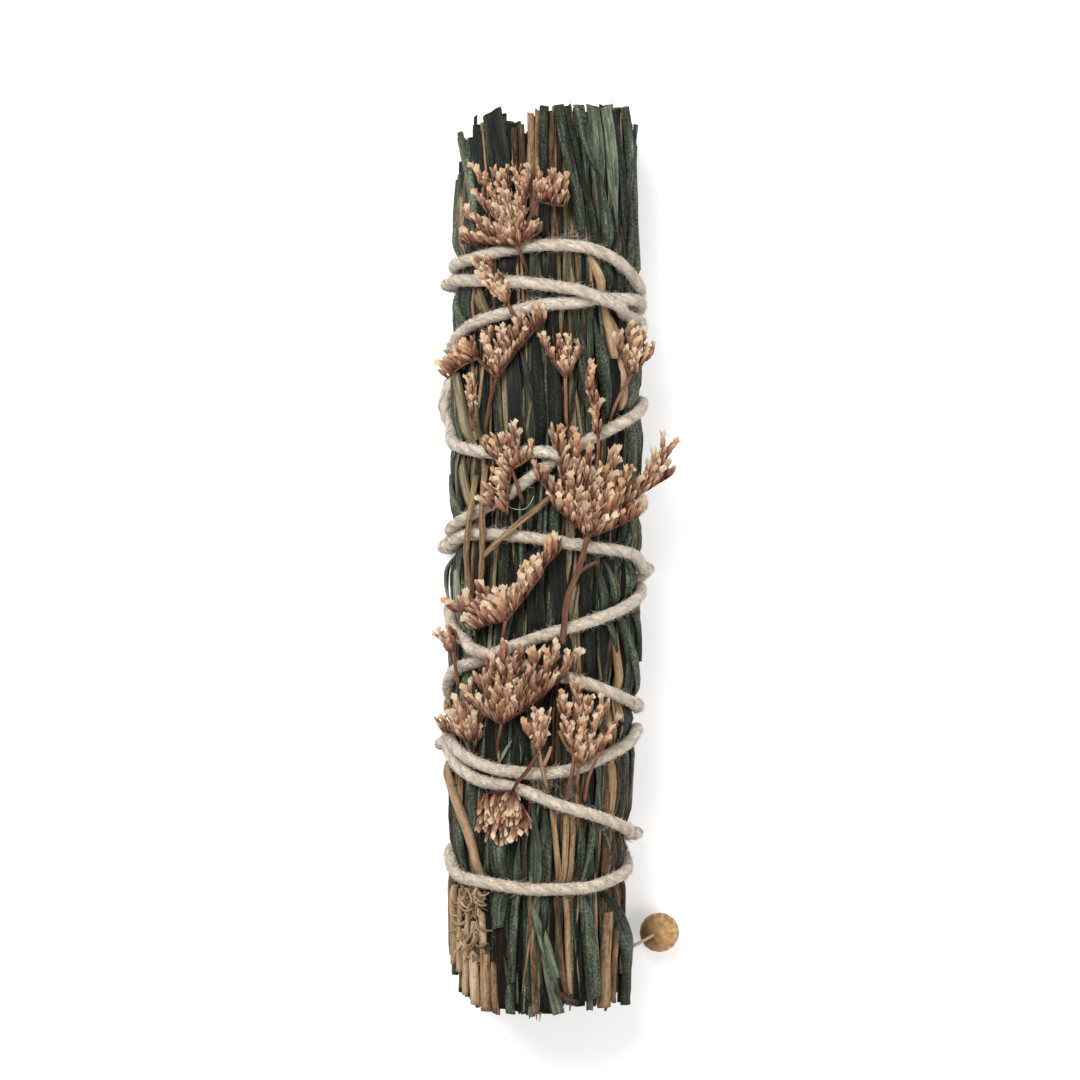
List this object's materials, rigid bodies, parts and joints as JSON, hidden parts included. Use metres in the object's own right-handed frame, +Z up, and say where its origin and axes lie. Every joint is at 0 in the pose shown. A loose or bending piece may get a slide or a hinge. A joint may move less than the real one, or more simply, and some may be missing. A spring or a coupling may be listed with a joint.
{
  "type": "lemongrass smudge stick",
  "caption": "Dried bundle of leaf blades and stalks wound with cotton twine, with flower sprigs and a seed pod.",
  "frame": {"origin": "on the flattened underside of the twine, under the middle of the bundle, where the stick rests", "axes": "+Y along the bundle to its leafy top end, +Z up from the surface that it lies on, +X to the right"},
  "size_m": [0.0496, 0.1833, 0.0421],
  "materials": {
    "leaf": "matte dried leaf, dark green",
    "stalk": "matte straw, tan",
    "floret": "matte papery, brown to pale tan",
    "twine": "matte cotton, off-white",
    "seed_pod": "satin dry husk, golden brown"
  },
  "bodies": {
    "root": {"twine": "twine", "bare_stem_forked": "stalk", "bare_stem_left": "stalk", "flower_sprig_top": "floret", "flower_sprig_upper_left": "floret", "flower_sprig_left_comb": "floret", "flower_sprig_centre": "floret", "flower_sprig_right": "floret", "flower_sprig_slender": "floret", "flower_sprig_great_fan": "floret", "flower_sprig_curled": "floret", "flower_sprig_waist": "floret", "flower_sprig_heart": "floret", "flower_sprig_lower_left": "floret", "flower_sprig_pale": "floret", "flower_sprig_lower_right": "floret", "flower_sprig_hanging": "floret", "flower_sprig_side": "floret", "flower_sprig_small": "floret", "leaf_blades_01": "leaf", "leaf_blades_02": "leaf", "stalk_03": "stalk", "leaf_blades_04": "leaf", "leaf_blades_05": "leaf", "stalk_06": "stalk", "leaf_blades_07": "leaf", "leaf_blades_08": "leaf", "leaf_blades_09": "leaf", "leaf_blades_10": "leaf", "stalk_11": "stalk", "leaf_blades_12": "leaf", "leaf_blades_13": "leaf", "stalk_14": "stalk", "leaf_blades_15": "leaf", "leaf_blades_16": "leaf", "leaf_blades_17": "leaf", "leaf_blades_18": "leaf", "leaf_blades_19": "leaf", "stalk_20": "stalk", "leaf_blades_21": "leaf", "leaf_blades_22": "leaf", "leaf_blades_23": "leaf", "leaf_blades_24": "leaf", "inner_leaves_01": "leaf", "inner_leaves_02": "leaf", "inner_leaves_03": "leaf", "inner_leaves_04": "leaf", "inner_leaves_05": "leaf", "inner_leaves_06": "leaf", "inner_leaves_07": "leaf", "inner_leaves_08": "leaf", "inner_leaves_09": "leaf", "inner_leaves_10": "leaf", "inner_leaves_11": "leaf", "inner_leaves_12": "leaf", "core_leaves_01": "leaf", "core_leaves_02": "leaf", "core_leaves_03": "leaf", "core_leaves_04": "leaf", "seed_pod": "seed_pod"}
  },
  "joints": []
}
